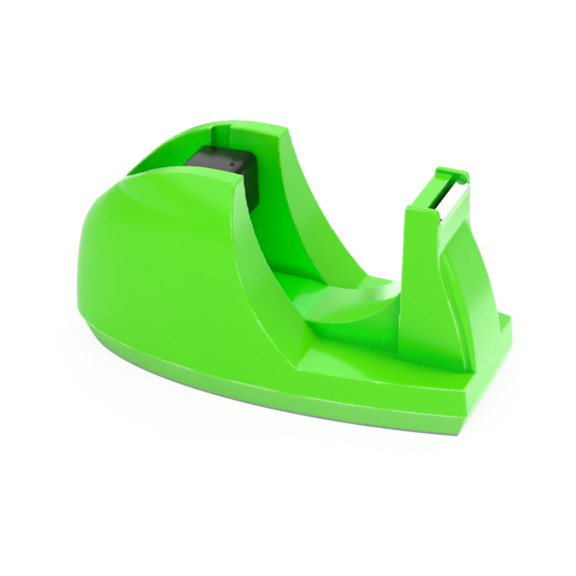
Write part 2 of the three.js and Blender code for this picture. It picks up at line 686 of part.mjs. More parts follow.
// Top flange with teeth on its front edge, and a leg down behind the front wall.
function cutterBlade() {
  const tangHalf = TOWER_WIDTH / 2 - CHEEK_THICKNESS - FIT_GAP;
  const lipHalf = TOWER_WIDTH / 2;
  const alongSlope = (x) => (x - bladeRearX) / Math.cos(bladeSlope);
  const cheekGap = FIT_GAP + BLADE_THICKNESS * Math.sin(bladeSlope);
  const lipStart = alongSlope(headFrontX - CHEEK_TIP_SETBACK + cheekGap);
  const tips = alongSlope(headFrontX + BLADE_OVERHANG);
  const roots = tips - TOOTH_DEPTH;
  const teeth = Math.floor(2 * lipHalf / TOOTH_PITCH);
  const points = [[0, -tangHalf], [lipStart, -tangHalf], [lipStart, -lipHalf], [roots, -lipHalf]];
  const first = -teeth * TOOTH_PITCH / 2;
  for (let i = 0; i < teeth; i += 1) {
    points.push([tips, first + (i + 0.5) * TOOTH_PITCH]);
    if (i + 1 < teeth) points.push([roots, first + (i + 1) * TOOTH_PITCH]);
  }
  points.push([roots, lipHalf], [lipStart, lipHalf], [lipStart, tangHalf], [0, tangHalf]);
  const options = { depth: BLADE_THICKNESS, bevelEnabled: false };
  const flange = new THREE.ExtrudeGeometry(polygon(points), options);
  flange.translate(0, 0, -BLADE_THICKNESS);
  flange.rotateY(bladeSlope);
  flange.translate(bladeRearX, 0, bladeTopZ);
  const leg = box(
    bladeRearX, bladeRearX + BLADE_THICKNESS, -tangHalf, tangHalf,
    bladeTopZ - BLADE_LEG, bladeTopZ - BLADE_THICKNESS / 2,
  );
  const holes = stakePair(STAKE_DIAMETER / 2 + FIT_GAP, bladeRearX - EMBED, slotFrontX);
  return toSolid(flange).add(leg).subtract(holes);
}

// ---- Tape hub, modelled about its own axis ----

function roundedSquare(side, radius) {
  const half = side / 2;
  const shape = new THREE.Shape();
  shape.absarc(half - radius, half - radius, radius, 0, Math.PI / 2, false);
  shape.absarc(-half + radius, half - radius, radius, Math.PI / 2, Math.PI, false);
  shape.absarc(-half + radius, -half + radius, radius, Math.PI, 1.5 * Math.PI, false);
  shape.absarc(half - radius, -half + radius, radius, 1.5 * Math.PI, 2 * Math.PI, false);
  return shape;
}

const hubHalf = HUB_LENGTH / 2;
const innerSide = HUB_SIDE - 2 * HUB_WALL;
const innerCorner = HUB_CORNER_RADIUS - HUB_WALL;
const capFace = -hubHalf + HUB_WALL;

// Square drum, closed at the far end, with a tube around the axle.
function hubDrum() {
  const drum = acrossY(roundedSquare(HUB_SIDE, HUB_CORNER_RADIUS), capFace + FIT_GAP, hubHalf, 6);
  const hollow = acrossY(roundedSquare(innerSide, innerCorner), capFace, hubHalf - HUB_WALL, 6);
  const tubeStart = capFace + HUB_CAP_SPIGOT + FIT_GAP;
  const tube = crosswise(seatRadius + AXLE_BOSS_WALL, 0, tubeStart, hubHalf - HUB_WALL / 2, 0);
  return drum.subtract(hollow).add(tube).subtract(crosswise(seatRadius, 0, -FAR, FAR, 0));
}

// Cap over the drum's open end, with a spigot that fits inside it.
function hubEndCap() {
  const side = innerSide - 2 * FIT_GAP;
  const corner = Math.max(innerCorner - FIT_GAP, INNER_CORNER_RADIUS);
  const spigot = acrossY(roundedSquare(side, corner), capFace - EMBED, capFace + HUB_CAP_SPIGOT, 6)
    .subtract(acrossY(roundedSquare(side - 2 * HUB_WALL, corner), capFace, FAR, 6));
  return acrossY(roundedSquare(HUB_SIDE, HUB_CORNER_RADIUS), -hubHalf, capFace, 6)
    .add(spigot)
    .subtract(crosswise(seatRadius, 0, -FAR, FAR, 0));
}

function hubAxle() {
  const radius = AXLE_DIAMETER / 2;
  return toSolid(turned([
    [0, axleNearY], [radius - AXLE_BEVEL, axleNearY], [radius, axleNearY + AXLE_BEVEL],
    [radius, axleFarY - AXLE_BEVEL], [radius - AXLE_BEVEL, axleFarY], [0, axleFarY],
  ], 24));
}

// ---- The assembly ----

const bodyPlastic = { color: 0x4fdc1e, roughness: 0.22, metalness: 0 };
const platePlastic = { color: 0x58cc3a, roughness: 0.3, metalness: 0 };
const foamRubber = { color: 0x7c8580, roughness: 0.9, metalness: 0 };
const castIron = { color: 0x55585a, roughness: 0.7, metalness: 0.8 };
const zincSteel = { color: 0xc2c6c8, roughness: 0.35, metalness: 1 };
const bladeSteel = { color: 0xe4e6e4, roughness: 0.22, metalness: 1 };
const hubPlastic = { color: 0x17161a, roughness: 0.25, metalness: 0 };

function piece(name, geometry, finish) {
  const mesh = new THREE.Mesh(geometry, new THREE.MeshStandardMaterial(finish));
  mesh.name = name;
  return mesh;
}

const dispenser = new THREE.Group();
dispenser.add(
  piece('body_shell', toGeometry(bodyShell()), bodyPlastic),
  piece('base_plate', toGeometry(basePlate()), platePlastic),
  piece('non_slip_pad', toGeometry(nonSlipPad()), foamRubber),
  piece('ballast_block', toGeometry(ballastBlock()), castIron),
  piece('cutter_blade', toGeometry(cutterBlade()), bladeSteel),
);

screwPlaces.forEach(([x, y], index) => {
  const screw = piece(`base_screw_${index + 1}`, baseScrewGeometry(), zincSteel);
  screw.position.set(x, y, headSeatZ);
  dispenser.add(screw);
});

const hub = new THREE.Group();
hub.position.set(hubX, 0, hubZ);
hub.rotation.y = -radians(HUB_TURN);
hub.add(
  piece('hub_drum', toGeometry(hubDrum()), hubPlastic),
  piece('hub_end_cap', toGeometry(hubEndCap()), hubPlastic),
  piece('hub_axle', toGeometry(hubAxle()), zincSteel),
);
dispenser.add(hub);

export default dispenser;
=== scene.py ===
import json
import math

import bmesh
import bpy
from mathutils import Matrix, Vector


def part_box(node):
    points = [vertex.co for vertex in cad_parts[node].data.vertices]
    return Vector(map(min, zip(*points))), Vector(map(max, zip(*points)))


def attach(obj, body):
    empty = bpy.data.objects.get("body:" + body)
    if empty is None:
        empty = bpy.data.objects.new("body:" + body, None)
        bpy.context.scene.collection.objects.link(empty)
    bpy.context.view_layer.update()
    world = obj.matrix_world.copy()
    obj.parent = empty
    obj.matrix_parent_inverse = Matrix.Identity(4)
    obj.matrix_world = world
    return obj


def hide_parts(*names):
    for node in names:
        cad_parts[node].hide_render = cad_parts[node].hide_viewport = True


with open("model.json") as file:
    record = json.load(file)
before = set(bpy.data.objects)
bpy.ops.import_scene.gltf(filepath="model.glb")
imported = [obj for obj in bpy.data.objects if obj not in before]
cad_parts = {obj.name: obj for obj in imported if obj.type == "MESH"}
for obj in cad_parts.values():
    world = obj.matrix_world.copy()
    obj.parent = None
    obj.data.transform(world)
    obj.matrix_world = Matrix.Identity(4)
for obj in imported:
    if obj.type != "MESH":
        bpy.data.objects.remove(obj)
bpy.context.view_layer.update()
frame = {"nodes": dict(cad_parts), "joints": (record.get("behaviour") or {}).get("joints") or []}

# ---- Body moulding: base, walls, well and saddle ----
# One hollow shell of glossy lime green ABS, injection moulded in one shot with the tower.
# Its edges are softened by the mould, and it is screwed down over the base plate.
# The forms below are worked in millimetres and turned into metres when they are done.

MM = 0.001
body_low, body_high = (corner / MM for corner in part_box("body_shell"))
PARTING_Z = body_low.z                # where the body meets the base plate
RIM_Z = body_high.z
FRONT_X, REAR_X = body_high.x, body_low.x
BAND_HEIGHT = 9.3                     # side of the base up to the platform
PLATFORM_Z = PARTING_Z + BAND_HEIGHT
FRONT_LEAN = 1.0                      # the front of that side leans back by this
PLATFORM_FRONT_X = FRONT_X - FRONT_LEAN
WIDEST_X = FRONT_X - 60
NARROWING = 7.7                       # half width lost from the widest place to the front
FRONT_CORNER = 0.9
LEAST_CORNER = 0.4                    # what an inset outline keeps of it
HALF_WIDTH = body_high.y
SIDE_RADIUS = 110.0                   # sides and rear lean in on this radius
SIDE_LEAN_FROM = PLATFORM_Z + 6.5
REAR_FULLNESS = (2.1, 2.9)            # superellipse power at the foot and at the rim

hub_joint = next(joint for joint in frame["joints"] if joint["name"] == "hub_spin")
HUB_X, HUB_Y, HUB_Z = (place / MM for place in hub_joint["pos_m"])
CROWN_X = HUB_X + 6.4                 # highest place of the rim
RIM_FRONT_RADIUS = 90.0
RIM_REAR_RADIUS = 49.4
RIM_REAR_SLOPE = math.radians(45)
WALL_FRONT_X = HUB_X + 16
WALL_FRONT_RADIUS = 69.0
WELL_BEHIND = 27.0                    # rear end of the well behind the hub
REAR_BAND = 1.5                       # width of the rim at the rear tip
REAR_ROUNDING = 6.0                   # reach of the soft turn from the back into the rim

WELL_FLOOR_Z = PLATFORM_Z + 6.3
WELL_FLOOR_HALF = 10.5
WELL_RIM_HALF = 13.65
WELL_SPLAY = 0.02                     # half width gained for each millimetre to the rear
WELL_DRAFT = math.tan(math.radians(6))
SPINE_HALF = 10.9                     # half width of the block under the saddle
SADDLE_RADIUS = 33.5
SADDLE_X = 14.0
SADDLE_DIP = 1.0                      # lowest place of the saddle below the well's floor
SADDLE_Z = WELL_FLOOR_Z - SADDLE_DIP + SADDLE_RADIUS
TOWER_FOOT_X = PLATFORM_FRONT_X - 24
SPINE_ROUND = 0.6
FLOOR_SINK = 0.5                      # how far the floor runs into the walls
FAR = 150.0                           # past every side of the part
PAST = 1.0                            # step by which a form runs past the face it meets
NEAR = 0.01                           # two places this close count as one


def lean_in(radius, rise):
    """How far an arc that starts upright has leant in at this rise."""
    rise = min(max(rise, 0), radius)
    return radius - math.sqrt(radius * radius - rise * rise)


def rim_rear(z):
    """Rear end of the rim's curve at one height."""
    middle = RIM_Z - RIM_REAR_RADIUS
    tangent = middle + RIM_REAR_RADIUS * math.cos(RIM_REAR_SLOPE)
    if z < tangent:
        start = CROWN_X - RIM_REAR_RADIUS * math.sin(RIM_REAR_SLOPE)
        return start - (tangent - z) / math.tan(RIM_REAR_SLOPE)
    return CROWN_X - math.sqrt(max(RIM_REAR_RADIUS ** 2 - (z - middle) ** 2, 0))


def rear_tip(z):
    """Rear tip of the body at one height, where the leaning back turns softly into the rim."""
    back = REAR_X + lean_in(SIDE_RADIUS, z - PARTING_Z)
    rim = min(rim_rear(z), HUB_X - WELL_BEHIND) - REAR_BAND
    nearness = max(1 - abs(back - rim) / REAR_ROUNDING, 0)
    return max(back, rim) + nearness ** 2 * REAR_ROUNDING / 4


def plan_half(front, rear, widest, fullness, corner):
    """Half of an outline seen from above, from the rear tip round the side to the front."""
    half = []
    rear_steps, side_steps, corner_steps = 72, 50, 8
    crowding = 1.3                    # above 1, more of the points lie near the rear tip
    for step in range(1, rear_steps + 1):
        turn = (step / rear_steps) ** crowding * math.pi / 2
        half.append((WIDEST_X - (WIDEST_X - rear) * math.cos(turn) ** (2 / fullness),
                     widest * math.sin(turn) ** (2 / fullness)))

    def side(x):
        return widest - NARROWING * ((x - WIDEST_X) / (FRONT_X - WIDEST_X)) ** 2

    for step in range(1, side_steps + 1):
        x = WIDEST_X + (front - corner - WIDEST_X) * step / side_steps
        half.append((x, side(x)))
    for step in range(1, corner_steps + 1):
        turn = step / corner_steps * math.pi / 2
        x = front - corner + corner * math.sin(turn)
        half.append((x, side(x) - corner * (1 - math.cos(turn))))
    return half


def closed_ring(rear, half):
    """Both halves of a symmetric outline as one ring."""
    return [(rear, 0.0), *((x, -y) for x, y in half), *((x, y) for x, y in reversed(half))]


def body_ring(z, inset=0.0):
    """Outline of the body at one height, moved in by inset."""
    share = min(max((z - PARTING_Z) / (RIM_Z - PARTING_Z), 0), 1)
    lean = min(max((z - PARTING_Z) / BAND_HEIGHT, 0), 1)
    rear = rear_tip(max(z, PARTING_Z)) + inset
    low, high = REAR_FULLNESS
    half = plan_half(
        FRONT_X - FRONT_LEAN * lean - inset, rear,
        HALF_WIDTH - lean_in(SIDE_RADIUS, z - SIDE_LEAN_FROM) - inset,
        low + (high - low) * share ** 2, max(FRONT_CORNER - inset, LEAST_CORNER))
    return closed_ring(rear, half)


def loft(levels):
    """Closed skin through level rings that have equal numbers of points."""
    form = bmesh.new()
    previous = None
    for place, (z, ring) in enumerate(levels):
        ends = place in (0, len(levels) - 1)
        verts = bmesh.ops.create_circle(
            form, cap_ends=ends, segments=len(ring), radius=1)["verts"]
        for vert, (x, y) in zip(verts, ring):
            vert.co = (x, y, z)
        edges = list({edge for vert in verts for edge in vert.link_edges})
        if previous:
            bmesh.ops.bridge_loops(form, edges=previous + edges)
        previous = edges
    bmesh.ops.recalc_face_normals(form, faces=form.faces)
    return form


def prism(points, move):
    """A solid from a flat ring of points that is pushed along a vector."""
    form = bmesh.new()
    verts = bmesh.ops.create_circle(
        form, cap_ends=True, segments=len(points), radius=1)["verts"]
    for vert, point in zip(verts, points):
        vert.co = point
    grown = bmesh.ops.extrude_face_region(form, geom=list(form.faces))["geom"]
    pushed = [part for part in grown if isinstance(part, bmesh.types.BMVert)]
    bmesh.ops.translate(form, verts=pushed, vec=move)
    bmesh.ops.recalc_face_normals(form, faces=form.faces)
    return form


def slab(outline, low, high):
    """A side view, drawn in X and Z, made thick across the part."""
    return prism([(x, low, z) for x, z in outline], (0, high - low, 0))


def block(x, y, z):
    """A box between two stations on each axis."""
    form = bmesh.new()
    bmesh.ops.create_cube(form, size=1)
    size = [high - low for low, high in (x, y, z)]
    middle = [(low + high) / 2 for low, high in (x, y, z)]
    bmesh.ops.scale(form, verts=form.verts, vec=size)
    bmesh.ops.translate(form, verts=form.verts, vec=middle)
    return form


def rod(radius, y, x, z, sides=48):
    """A round bar that lies across the part."""
    form = bmesh.new()
    bmesh.ops.create_cone(
        form, cap_ends=True, segments=sides, radius1=radius, radius2=radius, depth=y[1] - y[0])
    bmesh.ops.rotate(form, verts=form.verts, matrix=Matrix.Rotation(math.pi / 2, 3, "X"))
    bmesh.ops.translate(form, verts=form.verts, vec=(x, (y[0] + y[1]) / 2, z))
    return form


def mould(name, form):
    """A mesh object from a form, which is used up."""
    mesh = bpy.data.meshes.new(name)
    form.to_mesh(mesh)
    form.free()
    made = bpy.data.objects.new(name, mesh)
    bpy.context.scene.collection.objects.link(made)
    return made


def settle(made):
    """Turns the object's modifiers into its mesh."""
    graph = bpy.context.evaluated_depsgraph_get()
    mesh = bpy.data.meshes.new_from_object(made.evaluated_get(graph))
    made.modifiers.clear()
    made.data = mesh
    return made


def join(made, operation, *others):
    """Adds, cuts away or keeps in common the other solids, which are used up."""
    for other in others:
        step = made.modifiers.new("join", "BOOLEAN")
        step.solver = "MANIFOLD"
        step.operation = operation
        step.object = other
    settle(made)
    for other in others:
        bpy.data.objects.remove(other)
    return made


def soften(made, grain, rounds, kept):
    """Gives the solid an even skin and lets its edges run soft, as in a worn mould."""
    skin = made.modifiers.new("skin", "REMESH")
    skin.mode = "VOXEL"
    skin.voxel_size = grain
    skin.use_smooth_shade = True
    ease = made.modifiers.new("ease", "SMOOTH")
    ease.factor = 0.5
    ease.iterations = rounds
    thin = made.modifiers.new("thin", "DECIMATE")
    thin.ratio = kept
    return settle(made)


def arc(cx, cz, radius, start, end, steps):
    """Points along an arc."""
    turns = (start + (end - start) * step / steps for step in range(steps + 1))
    return [(cx + radius * math.cos(turn), cz + radius * math.sin(turn)) for turn in turns]


def wall_outline(inset):
    """Side view of the platform, the walls' front edges and the rim."""
    platform = PLATFORM_Z - inset
    top = RIM_Z - inset - lean_in(RIM_FRONT_RADIUS, WALL_FRONT_X - CROWN_X - inset)
    crown_z = RIM_Z - RIM_FRONT_RADIUS
    cx = WALL_FRONT_X + WALL_FRONT_RADIUS
    cz = RIM_Z - lean_in(RIM_FRONT_RADIUS, WALL_FRONT_X - CROWN_X)
    radius = WALL_FRONT_RADIUS + inset
    foot, head = (math.pi + math.asin((cz - z) / radius) for z in (platform, top))
    rear = RIM_REAR_RADIUS - inset
    middle = RIM_Z - RIM_REAR_RADIUS
    slope_x = CROWN_X - rear * math.sin(RIM_REAR_SLOPE)
    slope_z = middle + rear * math.cos(RIM_REAR_SLOPE)
    low, behind, ahead = PARTING_Z - 8 * PAST, REAR_X - 2 * PAST, FRONT_X + 2 * PAST
    front = RIM_FRONT_RADIUS - inset
    front_turn = math.acos((WALL_FRONT_X - CROWN_X - inset) / front)
    return [
        (behind, low), (ahead, low), (ahead, platform),
        *arc(cx, cz, radius, foot, head, 70),
        *arc(CROWN_X, crown_z, front, front_turn, math.pi / 2, 12)[1:],
        *arc(CROWN_X, middle, rear, math.pi / 2, math.pi / 2 + RIM_REAR_SLOPE, 40)[1:],
        (behind, slope_z - (slope_x - behind) * math.tan(RIM_REAR_SLOPE)),
    ]


def well_half(x, z):
    """Half the well's width at one place."""
    spread = (WELL_RIM_HALF - WELL_FLOOR_HALF) / (RIM_Z - WELL_FLOOR_Z)
    return WELL_FLOOR_HALF + spread * (z - WELL_FLOOR_Z) + WELL_SPLAY * (WALL_FRONT_X - x)


def well_loft(grow, floor, top=RIM_Z + 3 * PAST, front=TOWER_FOOT_X + PAST):
    """The well's space above a floor, its walls moved out by grow."""
    def ring(z):
        tip = HUB_X - WELL_BEHIND - grow - (z - HUB_Z) * WELL_DRAFT
        rear_half = well_half(tip + well_half(tip, z), z) + grow
        front_half = well_half(front, z) + grow
        return [(front, -front_half), (front, front_half),
                *arc(tip + rear_half, 0, rear_half, math.pi / 2, 1.5 * math.pi, 64)]
    return loft([(floor, ring(floor)), (top, ring(top))])


def wall_form(inset, foot, step):
    """Base and walls as one solid, open between the walls, moved in by inset."""
    height = RIM_Z + PAST - PARTING_Z
    count = round(height / step)
    heights = [foot, *(PARTING_Z + height * place / count for place in range(count + 1))]
    form = mould("body", loft([(z, body_ring(z, inset)) for z in heights]))
    join(form, "INTERSECT", mould("profile", slab(wall_outline(inset), -FAR, FAR)))
    return join(form, "DIFFERENCE", mould("well", well_loft(inset, foot - PAST)))


def saddle_dish(inset):
    """The round cut that makes the saddle, across the part."""
    return mould("dish", rod(SADDLE_RADIUS + inset, (-FAR, FAR), SADDLE_X, SADDLE_Z, sides=220))


def floor_form(inset, foot):
    """Floor between the walls, with the dip that the saddle makes in it."""
    bed = mould("floor", well_loft(
        inset + FLOOR_SINK, foot, WELL_FLOOR_Z - inset, TOWER_FOOT_X + 2 * PAST))
    profile = mould("profile", slab(wall_outline(inset), -FAR, FAR))
    return join(join(bed, "INTERSECT", profile), "DIFFERENCE", saddle_dish(inset))


def spine_form(inset, foot):
    """Block under the saddle, from the well to the tower, its long top edges rounded."""
    half = SPINE_HALF - inset
    low = WELL_FLOOR_Z - SADDLE_DIP - inset
    under = mould("spine", block((HUB_X, TOWER_FOOT_X + 2 * PAST), (-half, half), (foot, SADDLE_Z)))
    behind = mould("behind", block((-FAR, SADDLE_X), (-FAR, FAR), (low, FAR)))
    join(under, "DIFFERENCE", saddle_dish(inset), behind)

    def long_and_high(edge):
        a, b = (vert.co for vert in edge.verts)
        on_side = abs(a.y) > half - NEAR and abs(a.y - b.y) < NEAR
        return on_side and abs(a.x - b.x) > NEAR and min(a.z, b.z) > low - PAST

    form = bmesh.new()
    form.from_mesh(under.data)
    bmesh.ops.dissolve_limit(form, angle_limit=0.005, verts=form.verts, edges=form.edges)
    bmesh.ops.bevel(
        form, geom=[edge for edge in form.edges if long_and_high(edge)], offset=SPINE_ROUND,
        segments=4, profile=0.5, affect="EDGES", material=-1)
    form.to_mesh(under.data)
    form.free()
    return under


BODY_FOOT_Z = PARTING_Z - 4 * PAST    # the forms start here and are cut off at the parting
body = wall_form(0, BODY_FOOT_Z, step=1.0)

# Seats of the hub's axle: a round blind socket in the near wall, and in the far wall a slanted
# open slot with a wider mouth at the rim, through which the hub drops in.

FIT = 0.3
AXLE_RADIUS = (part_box("hub_axle")[1].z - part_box("hub_axle")[0].z) / MM / 2
AXLE_ENDS = [corner.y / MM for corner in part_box("hub_axle")]
axle_joint = next(joint for joint in frame["joints"] if joint["name"] == "axle_shift")
AXLE_SHIFT = axle_joint["range_m"][1] / MM
SEAT_RADIUS = AXLE_RADIUS + FIT
SLOT_SLANT = math.radians(18)
MOUTH_X = (HUB_X - 7.05, HUB_X - 0.75)
MOUTH_DEPTH = 11.0                    # down from the rim's crown


def slot_form():
    """The slanted channel with its mouth."""
    deep = AXLE_ENDS[1] + AXLE_SHIFT + FIT
    length = (RIM_Z - HUB_Z + 3 * PAST) / math.cos(SLOT_SLANT)
    foot = arc(HUB_X, HUB_Z, SEAT_RADIUS, SLOT_SLANT + math.pi, SLOT_SLANT + 2 * math.pi, 24)
    up = Vector((-math.sin(SLOT_SLANT), math.cos(SLOT_SLANT))) * length
    outline = [*foot, tuple(Vector(foot[-1]) + up), tuple(Vector(foot[0]) + up)]
    mouth = mould("mouth", block(
        MOUTH_X, (WELL_FLOOR_HALF, deep), (RIM_Z - MOUTH_DEPTH, RIM_Z + 2 * PAST)))
    return join(mould("slot", slab(outline, WELL_FLOOR_HALF, deep)), "UNION", mouth)


socket = mould("socket", rod(SEAT_RADIUS, (AXLE_ENDS[0] - FIT, -WELL_FLOOR_HALF), HUB_X, HUB_Z))
join(body, "DIFFERENCE", slot_form(), socket)

# ---- Tower of the same moulding ----
# Two cheeks joined by a rear wall and a bulging front ramp, hollow and open from below.
# The head has a strip at the rear, an open slot, and the seat on which the blade lies.

TOWER_HALF = 14.1
RAMP_HALF = (12.7, 11.9)              # half width of the ramp at its foot and under the head
RAMP_ROUND = (1.5, 3.4)               # radius of its long edges at the foot and under the head
TOWER_Z = PLATFORM_Z + 51.2
HEAD_REAR_X = TOWER_FOOT_X + 1.2
HEAD_FRONT_X = HEAD_REAR_X + 10.8
FACE_FOOT_Z = TOWER_Z - 12.3          # where the head's flat face ends and the ramp begins
FACE_LEAN = 0.7                       # how far the face's foot stands behind its top
RAMP_BULGE = 104.0                    # radius of the ramp seen from the side
RAMP_REAR_X = HEAD_REAR_X + 2         # end of the ramp's sections, inside the tower
STRIP_Z = TOWER_Z - 1.9               # top of the head between the cheeks
SLOT_X = (HEAD_REAR_X + 5.2, HEAD_REAR_X + 8.4)
LEDGE_Z = TOWER_Z - 8.2               # floor of the slot
CHEEK = 2.1
CHEEK_TIP_X = HEAD_FRONT_X - 0.5
CHEEK_FOOT_X = PLATFORM_FRONT_X - 2.5
NECK_Z = FACE_FOOT_Z - 1
CHEEK_FOOT_BULGE, CHEEK_NECK_PULL = 2.2, 0.3
CHEEK_CORNERS = (2.4, 1.3)            # front and rear corner at the top
BLADE_THICKNESS = 0.5
BLADE_REAR_X = SLOT_X[1] - FIT - BLADE_THICKNESS
BLADE_SLOPE = math.radians(21)


def cheek_outline():
    """Side view of a cheek: curved front edge, neck, and rounded top corners."""
    foot = Vector((CHEEK_FOOT_X, PLATFORM_Z))
    neck = Vector((HEAD_FRONT_X, NECK_Z))
    rise = neck.y - foot.y
    front, rear = CHEEK_CORNERS

    def curve(a, b, c, d, count):
        places = (step / count for step in range(count + 1))
        return [tuple(a * (1 - t) ** 3 + 3 * b * t * (1 - t) ** 2
                      + 3 * c * t * t * (1 - t) + d * t ** 3) for t in places]

    def corner(start, turn, end):
        start, turn, end = Vector(start), Vector(turn), Vector(end)
        return curve(start, start.lerp(turn, 2 / 3), end.lerp(turn, 2 / 3), end, 10)

    return [
        (TOWER_FOOT_X, PARTING_Z), (foot.x, PARTING_Z),
        *curve(foot, foot + Vector((-CHEEK_FOOT_BULGE, rise / 2)),
               neck + Vector((-CHEEK_NECK_PULL, -rise / 4)), neck, 60),
        *corner((CHEEK_TIP_X, TOWER_Z - front), (CHEEK_TIP_X, TOWER_Z),
                (CHEEK_TIP_X - front, TOWER_Z)),
        *corner((HEAD_REAR_X + rear, TOWER_Z), (HEAD_REAR_X, TOWER_Z),
                (HEAD_REAR_X, TOWER_Z - rear)),
    ]


def core_outline(inset):
    """Side view of the core between the cheeks: rear wall, strip, face and bulging ramp."""
    face = Vector((HEAD_FRONT_X - FACE_LEAN, FACE_FOOT_Z))
    foot = Vector((PLATFORM_FRONT_X, PLATFORM_Z))
    along = (foot - face).normalized()
    reach = math.sqrt(RAMP_BULGE ** 2 - ((foot - face).length / 2) ** 2)
    middle = (foot + face) / 2 + Vector((along.y, -along.x)) * reach
    start, end = (math.atan2(*reversed(point - middle)) for point in (foot, face))
    return [
        (TOWER_FOOT_X + inset, PARTING_Z - inset), (PLATFORM_FRONT_X - inset, PARTING_Z - inset),
        *arc(middle.x, middle.y, RAMP_BULGE - inset, start, end, 50),
        (HEAD_FRONT_X - inset, STRIP_Z - inset), (HEAD_REAR_X + inset, STRIP_Z - inset),
        (HEAD_REAR_X + inset, FACE_FOOT_Z),
    ]


def ramp_form():
    """The ramp as rounded level sections, its long edges fuller toward the head."""
    profile = [(x, z) for x, z in core_outline(0)[2:]
               if x > HEAD_FRONT_X - PAST and z < FACE_FOOT_Z + NEAR]
    levels = []
    for front, z in [(PLATFORM_FRONT_X, PARTING_Z - PAST), *profile]:
        share = min(max((z - PLATFORM_Z) / (FACE_FOOT_Z - PLATFORM_Z), 0), 1)
        half, radius = (low + (high - low) * share for low, high in (RAMP_HALF, RAMP_ROUND))
        corner = arc(front - radius, half - radius, radius, math.pi / 2, 0, 10)
        side = [(RAMP_REAR_X, half), *corner]
        levels.append((z, side + [(x, -y) for x, y in reversed(side)]))
    return mould("ramp", loft(levels))


def tower_form():
    """Cheeks and core as one solid, with the slot and the blade's seat cut into the head."""
    inner = (CHEEK - TOWER_HALF, TOWER_HALF - CHEEK)
    cheeks = mould("tower", slab(cheek_outline(), -TOWER_HALF, TOWER_HALF))
    gap = mould("gap", block((HEAD_REAR_X - 2 * PAST, FAR), inner, (STRIP_Z, FAR)))
    join(cheeks, "DIFFERENCE", gap)
    head = mould("head", slab(core_outline(0), -RAMP_HALF[1], RAMP_HALF[1]))
    ahead = mould("ahead", block((RAMP_REAR_X, FAR), (-FAR, FAR), (-FAR, FACE_FOOT_Z)))
    join(head, "DIFFERENCE", ahead)
    join(cheeks, "UNION", head, ramp_form())
    slot = mould("slot", block(SLOT_X, inner, (LEDGE_Z, FAR)))
    seat_z = STRIP_Z - (BLADE_THICKNESS + FIT) / math.cos(BLADE_SLOPE)
    drop = (FAR - BLADE_REAR_X) * math.tan(BLADE_SLOPE)
    seat = mould("seat", slab(
        [(BLADE_REAR_X, seat_z), (FAR, seat_z - drop), (FAR, FAR), (BLADE_REAR_X, FAR)], *inner))
    return join(cheeks, "DIFFERENCE", slot, seat)


tower = tower_form()
soften(tower, grain=0.3, rounds=2, kept=0.3)
soften(body, grain=0.38, rounds=4, kept=0.3)
join(body, "UNION", tower)
join(body, "UNION", floor_form(0, BODY_FOOT_Z))
join(body, "UNION", spine_form(0, BODY_FOOT_Z))
above_plate = mould("parting", block((-FAR, FAR), (-FAR, FAR), (PARTING_Z, FAR)))
join(body, "INTERSECT", above_plate)

# The hollow, with its bosses and ribs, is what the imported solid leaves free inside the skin.
SKIN_INSIDE = 1.0
TOWER_SKIN = 1.4
HOLLOW_FOOT_Z = PARTING_Z - 2 * PAST
hollow = wall_form(SKIN_INSIDE, HOLLOW_FOOT_Z, step=3.0)
join(hollow, "UNION", floor_form(SKIN_INSIDE, HOLLOW_FOOT_Z))
join(hollow, "UNION", spine_form(SKIN_INSIDE, HOLLOW_FOOT_Z))
inner_half = RAMP_HALF[1] - TOWER_SKIN / 2
inner_tower = mould("inside", slab(core_outline(TOWER_SKIN), -inner_half, inner_half))
join(hollow, "UNION", inner_tower)

WELD = 0.0005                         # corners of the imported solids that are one
SEAM = 0.002                          # the same after the joins


def packed(name):
    """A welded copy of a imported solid, in millimetres."""
    form = bmesh.new()
    form.from_mesh(frame["nodes"][name].data)
    bmesh.ops.scale(form, verts=form.verts, vec=(1 / MM,) * 3)
    bmesh.ops.remove_doubles(form, verts=form.verts, dist=WELD)
    return mould("packed", form)


join(hollow, "DIFFERENCE", packed("body_shell"))
join(body, "DIFFERENCE", hollow)

CREASE = math.radians(35)             # sharper edges than this are drawn hard


def finish_piece(made, name, rides, node):
    """Brings a piece to metres, marks its hard edges and hands it to the frame."""
    form = bmesh.new()
    form.from_mesh(made.data)
    bmesh.ops.remove_doubles(form, verts=form.verts, dist=SEAM)
    bmesh.ops.dissolve_degenerate(form, edges=form.edges, dist=SEAM)
    bmesh.ops.scale(form, verts=form.verts, vec=(MM,) * 3)
    for face in form.faces:
        face.smooth = True
    for edge in form.edges:
        if len(edge.link_faces) == 2 and edge.calc_face_angle(0) > CREASE:
            edge.smooth = False
    form.to_mesh(made.data)
    form.free()
    made.name = name
    made.data.name = name
    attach(made, rides)
    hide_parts(node)
    return made


finish_piece(body, "body_moulding", "base", "body_shell")


class Term:
    """A shader socket for sums, products and limits, each of which adds a Math node."""

    def __init__(self, finish, socket):
        self.finish, self.socket = finish, socket

    def maths(self, operation, first, second):
        return self.finish.node("ShaderNodeMath", {"operation": operation}, {0: first, 1: second})

    def __add__(self, other):
        return self.maths("ADD", self, other)

    def __mul__(self, other):
        return self.maths("MULTIPLY", self, other)

    def __rsub__(self, other):
        return self.maths("SUBTRACT", other, self)

    def at_least(self, other):
        return self.maths("MAXIMUM", self, other)

    def at_most(self, other):
        return self.maths("MINIMUM", self, other)


